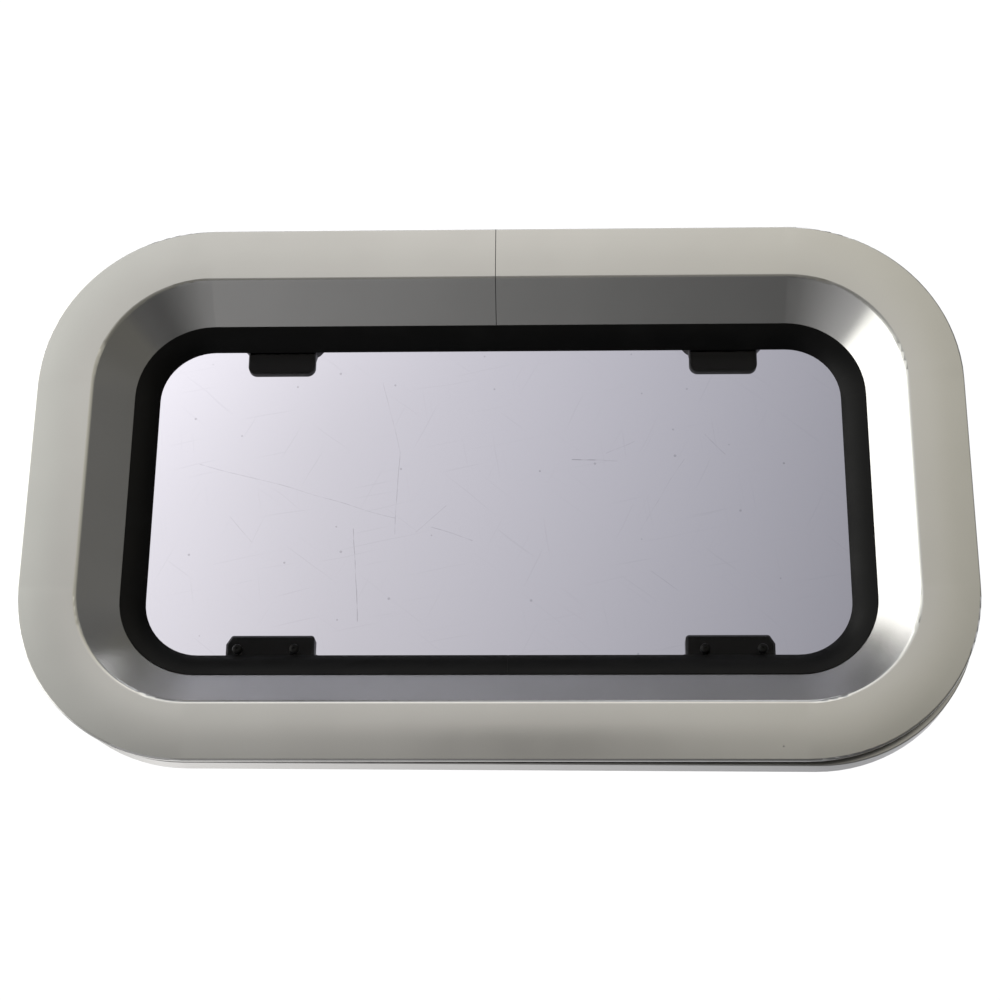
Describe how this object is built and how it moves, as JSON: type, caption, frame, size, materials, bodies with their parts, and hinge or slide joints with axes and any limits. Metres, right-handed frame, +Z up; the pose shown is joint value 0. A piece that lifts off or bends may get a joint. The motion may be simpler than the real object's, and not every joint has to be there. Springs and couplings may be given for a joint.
{
  "type": "opening porthole",
  "caption": "Rounded rectangular boat window that opens inward: aluminium flange frame, rubber seal, smoked pane, top hinges, quarter-turn latches and an inner clamp ring.",
  "frame": {"origin": "centre of the window on the back face of the outer flange, which lies on the hull's outside surface", "axes": "+X along the window, +Z up, +Y from outside into the cabin"},
  "size_m": [0.5, 0.0639, 0.3016],
  "materials": {
    "anodised_aluminium": "satin anodised, fine grain along the bend",
    "black_rubber": "smooth extruded EPDM, low sheen",
    "smoked_acrylic": "lightly smoked clear acrylic, polished, fine scratches",
    "black_nylon": "moulded, fine texture",
    "black_screws": "black coated steel",
    "stainless_steel": "plain turned or pressed",
    "white_nylon": "plain moulded"
  },
  "bodies": {
    "root": {"frame_seal": "black_rubber", "hinge_bracket_left": "black_nylon", "hinge_bracket_right": "black_nylon", "hinge_bracket_screws_left": "stainless_steel", "hinge_bracket_screws_right": "stainless_steel", "hinge_pin_clips_left": "stainless_steel", "hinge_pin_clips_right": "stainless_steel", "hinge_pin_left": "stainless_steel", "hinge_pin_right": "stainless_steel", "hinge_washers_left": "white_nylon", "hinge_washers_right": "white_nylon", "joint_key": "stainless_steel", "joint_key_screws": "stainless_steel", "joint_sealant": "black_rubber", "keeper_left": "black_nylon", "keeper_right": "black_nylon", "keeper_screws_left": "stainless_steel", "keeper_screws_right": "stainless_steel", "outer_frame": "anodised_aluminium", "trim_ring": "anodised_aluminium", "trim_ring_screws": "stainless_steel"},
    "sash": {"hinge_leaf_gasket_left": "black_rubber", "hinge_leaf_gasket_right": "black_rubber", "hinge_leaf_left": "black_nylon", "hinge_leaf_right": "black_nylon", "hinge_leaf_screws_left": "stainless_steel", "hinge_leaf_screws_right": "stainless_steel", "latch_base_left": "black_nylon", "latch_base_right": "black_nylon", "latch_base_screws_left": "black_screws", "latch_base_screws_right": "black_screws", "latch_gasket_left": "black_rubber", "latch_gasket_right": "black_rubber", "pane": "smoked_acrylic"},
    "latch_left": {"latch_cap_left": "black_nylon", "latch_handle_left": "black_nylon", "latch_nut_left": "stainless_steel", "latch_spacer_left": "black_nylon", "latch_spindle_left": "stainless_steel", "latch_spring_washer_left": "stainless_steel", "latch_tongue_left": "stainless_steel"},
    "latch_right": {"latch_cap_right": "black_nylon", "latch_handle_right": "black_nylon", "latch_nut_right": "stainless_steel", "latch_spacer_right": "black_nylon", "latch_spindle_right": "stainless_steel", "latch_spring_washer_right": "stainless_steel", "latch_tongue_right": "stainless_steel"}
  },
  "joints": [
    {"name": "sash_hinge", "type": "hinge", "parent": "root", "child": "sash", "pos_m": [0, 0.041, 0.107], "axis": [1, 0, 0], "range_deg": [0, 90]},
    {"name": "latch_left_turn", "type": "hinge", "parent": "sash", "child": "latch_left", "pos_m": [-0.121, 0.05, -0.088], "axis": [0, 1, 0], "range_deg": [0, 90]},
    {"name": "latch_right_turn", "type": "hinge", "parent": "sash", "child": "latch_right", "pos_m": [0.1234, 0.05, -0.088], "axis": [0, -1, 0], "range_deg": [0, 90]}
  ]
}
